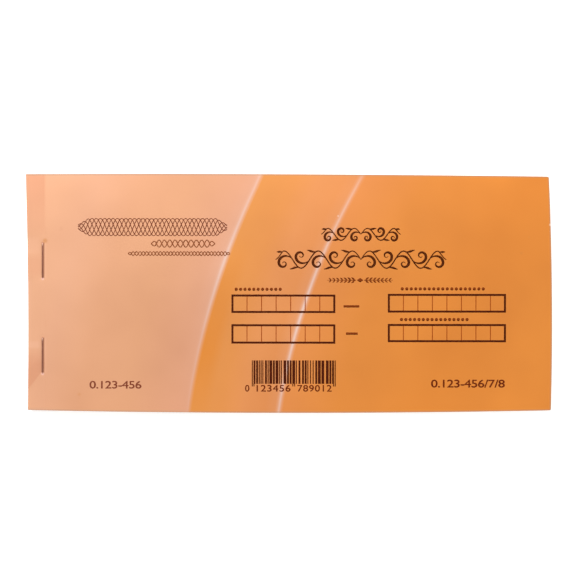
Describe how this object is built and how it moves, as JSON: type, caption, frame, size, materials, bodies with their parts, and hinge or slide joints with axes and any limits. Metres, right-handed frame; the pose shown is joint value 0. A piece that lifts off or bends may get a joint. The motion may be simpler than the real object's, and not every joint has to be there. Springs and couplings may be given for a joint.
{
  "type": "cash receipt book",
  "caption": "Stapled landscape receipt book: carbonless copy sets with tear-off leaves between a creased card cover that opens and a greyboard back.",
  "frame": {"origin": "middle of the underside of the back board", "axes": "+X from the stapled edge to the free edge, +Y to the top of the page, +Z out of the cover"},
  "size_m": [0.2, 0.09, 0.0077],
  "materials": {
    "cover_card": "satin coated, printed",
    "white_paper": "matt carbonless",
    "yellow_paper": "matt carbonless",
    "pink_paper": "matt carbonless",
    "leaf_pair": "matt carbonless, white over yellow",
    "bound_paper": "matt carbonless, pink under the white and yellow stubs",
    "greyboard": "uncoated",
    "staple_wire": "drawn wire"
  },
  "bodies": {
    "block": {"back_board": "greyboard", "cover_strip": "cover_card", "upper_staple": "staple_wire", "lower_staple": "staple_wire", "white_stub_01": "white_paper", "yellow_stub_01": "yellow_paper", "pink_copy_01": "pink_paper", "bound_set_02": "bound_paper", "bound_set_03": "bound_paper", "bound_set_04": "bound_paper", "bound_set_05": "bound_paper", "bound_set_06": "bound_paper", "bound_set_07": "bound_paper", "bound_set_08": "bound_paper", "bound_set_09": "bound_paper", "bound_set_10": "bound_paper", "bound_set_11": "bound_paper", "bound_set_12": "bound_paper", "bound_set_13": "bound_paper", "bound_set_14": "bound_paper", "bound_set_15": "bound_paper", "bound_set_16": "bound_paper", "bound_set_17": "bound_paper", "bound_set_18": "bound_paper", "bound_set_19": "bound_paper", "bound_set_20": "bound_paper", "bound_set_21": "bound_paper", "bound_set_22": "bound_paper", "bound_set_23": "bound_paper", "bound_set_24": "bound_paper", "bound_set_25": "bound_paper"},
    "cover": {"cover_leaf": "cover_card"},
    "white_01": {"white_leaf_01": "white_paper"},
    "yellow_01": {"yellow_leaf_01": "yellow_paper"},
    "set_02": {"leaves_02": "leaf_pair"},
    "set_03": {"leaves_03": "leaf_pair"},
    "set_04": {"leaves_04": "leaf_pair"},
    "set_05": {"leaves_05": "leaf_pair"},
    "set_06": {"leaves_06": "leaf_pair"},
    "set_07": {"leaves_07": "leaf_pair"},
    "set_08": {"leaves_08": "leaf_pair"},
    "set_09": {"leaves_09": "leaf_pair"},
    "set_10": {"leaves_10": "leaf_pair"},
    "set_11": {"leaves_11": "leaf_pair"},
    "set_12": {"leaves_12": "leaf_pair"},
    "set_13": {"leaves_13": "leaf_pair"},
    "set_14": {"leaves_14": "leaf_pair"},
    "set_15": {"leaves_15": "leaf_pair"},
    "set_16": {"leaves_16": "leaf_pair"},
    "set_17": {"leaves_17": "leaf_pair"},
    "set_18": {"leaves_18": "leaf_pair"},
    "set_19": {"leaves_19": "leaf_pair"},
    "set_20": {"leaves_20": "leaf_pair"},
    "set_21": {"leaves_21": "leaf_pair"},
    "set_22": {"leaves_22": "leaf_pair"},
    "set_23": {"leaves_23": "leaf_pair"},
    "set_24": {"leaves_24": "leaf_pair"},
    "set_25": {"leaves_25": "leaf_pair"}
  },
  "joints": [
    {"name": "cover_hinge", "type": "hinge", "parent": "block", "child": "cover", "pos_m": [-0.0932, 0, 0.00751], "axis": [0, -1, 0], "range_deg": [0, 179.9]},
    {"name": "tear_01_white", "type": "slide", "parent": "block", "child": "white_01", "axis": [1, 0, 0], "range_m": [0, 0.2]},
    {"name": "tear_01_yellow", "type": "slide", "parent": "block", "child": "yellow_01", "axis": [1, 0, 0], "range_m": [0, 0.2]},
    {"name": "tear_02", "type": "slide", "parent": "block", "child": "set_02", "axis": [1, 0, 0], "range_m": [0, 0.2]},
    {"name": "tear_03", "type": "slide", "parent": "block", "child": "set_03", "axis": [1, 0, 0], "range_m": [0, 0.2]},
    {"name": "tear_04", "type": "slide", "parent": "block", "child": "set_04", "axis": [1, 0, 0], "range_m": [0, 0.2]},
    {"name": "tear_05", "type": "slide", "parent": "block", "child": "set_05", "axis": [1, 0, 0], "range_m": [0, 0.2]},
    {"name": "tear_06", "type": "slide", "parent": "block", "child": "set_06", "axis": [1, 0, 0], "range_m": [0, 0.2]},
    {"name": "tear_07", "type": "slide", "parent": "block", "child": "set_07", "axis": [1, 0, 0], "range_m": [0, 0.2]},
    {"name": "tear_08", "type": "slide", "parent": "block", "child": "set_08", "axis": [1, 0, 0], "range_m": [0, 0.2]},
    {"name": "tear_09", "type": "slide", "parent": "block", "child": "set_09", "axis": [1, 0, 0], "range_m": [0, 0.2]},
    {"name": "tear_10", "type": "slide", "parent": "block", "child": "set_10", "axis": [1, 0, 0], "range_m": [0, 0.2]},
    {"name": "tear_11", "type": "slide", "parent": "block", "child": "set_11", "axis": [1, 0, 0], "range_m": [0, 0.2]},
    {"name": "tear_12", "type": "slide", "parent": "block", "child": "set_12", "axis": [1, 0, 0], "range_m": [0, 0.2]},
    {"name": "tear_13", "type": "slide", "parent": "block", "child": "set_13", "axis": [1, 0, 0], "range_m": [0, 0.2]},
    {"name": "tear_14", "type": "slide", "parent": "block", "child": "set_14", "axis": [1, 0, 0], "range_m": [0, 0.2]},
    {"name": "tear_15", "type": "slide", "parent": "block", "child": "set_15", "axis": [1, 0, 0], "range_m": [0, 0.2]},
    {"name": "tear_16", "type": "slide", "parent": "block", "child": "set_16", "axis": [1, 0, 0], "range_m": [0, 0.2]},
    {"name": "tear_17", "type": "slide", "parent": "block", "child": "set_17", "axis": [1, 0, 0], "range_m": [0, 0.2]},
    {"name": "tear_18", "type": "slide", "parent": "block", "child": "set_18", "axis": [1, 0, 0], "range_m": [0, 0.2]},
    {"name": "tear_19", "type": "slide", "parent": "block", "child": "set_19", "axis": [1, 0, 0], "range_m": [0, 0.2]},
    {"name": "tear_20", "type": "slide", "parent": "block", "child": "set_20", "axis": [1, 0, 0], "range_m": [0, 0.2]},
    {"name": "tear_21", "type": "slide", "parent": "block", "child": "set_21", "axis": [1, 0, 0], "range_m": [0, 0.2]},
    {"name": "tear_22", "type": "slide", "parent": "block", "child": "set_22", "axis": [1, 0, 0], "range_m": [0, 0.2]},
    {"name": "tear_23", "type": "slide", "parent": "block", "child": "set_23", "axis": [1, 0, 0], "range_m": [0, 0.2]},
    {"name": "tear_24", "type": "slide", "parent": "block", "child": "set_24", "axis": [1, 0, 0], "range_m": [0, 0.2]},
    {"name": "tear_25", "type": "slide", "parent": "block", "child": "set_25", "axis": [1, 0, 0], "range_m": [0, 0.2]}
  ]
}
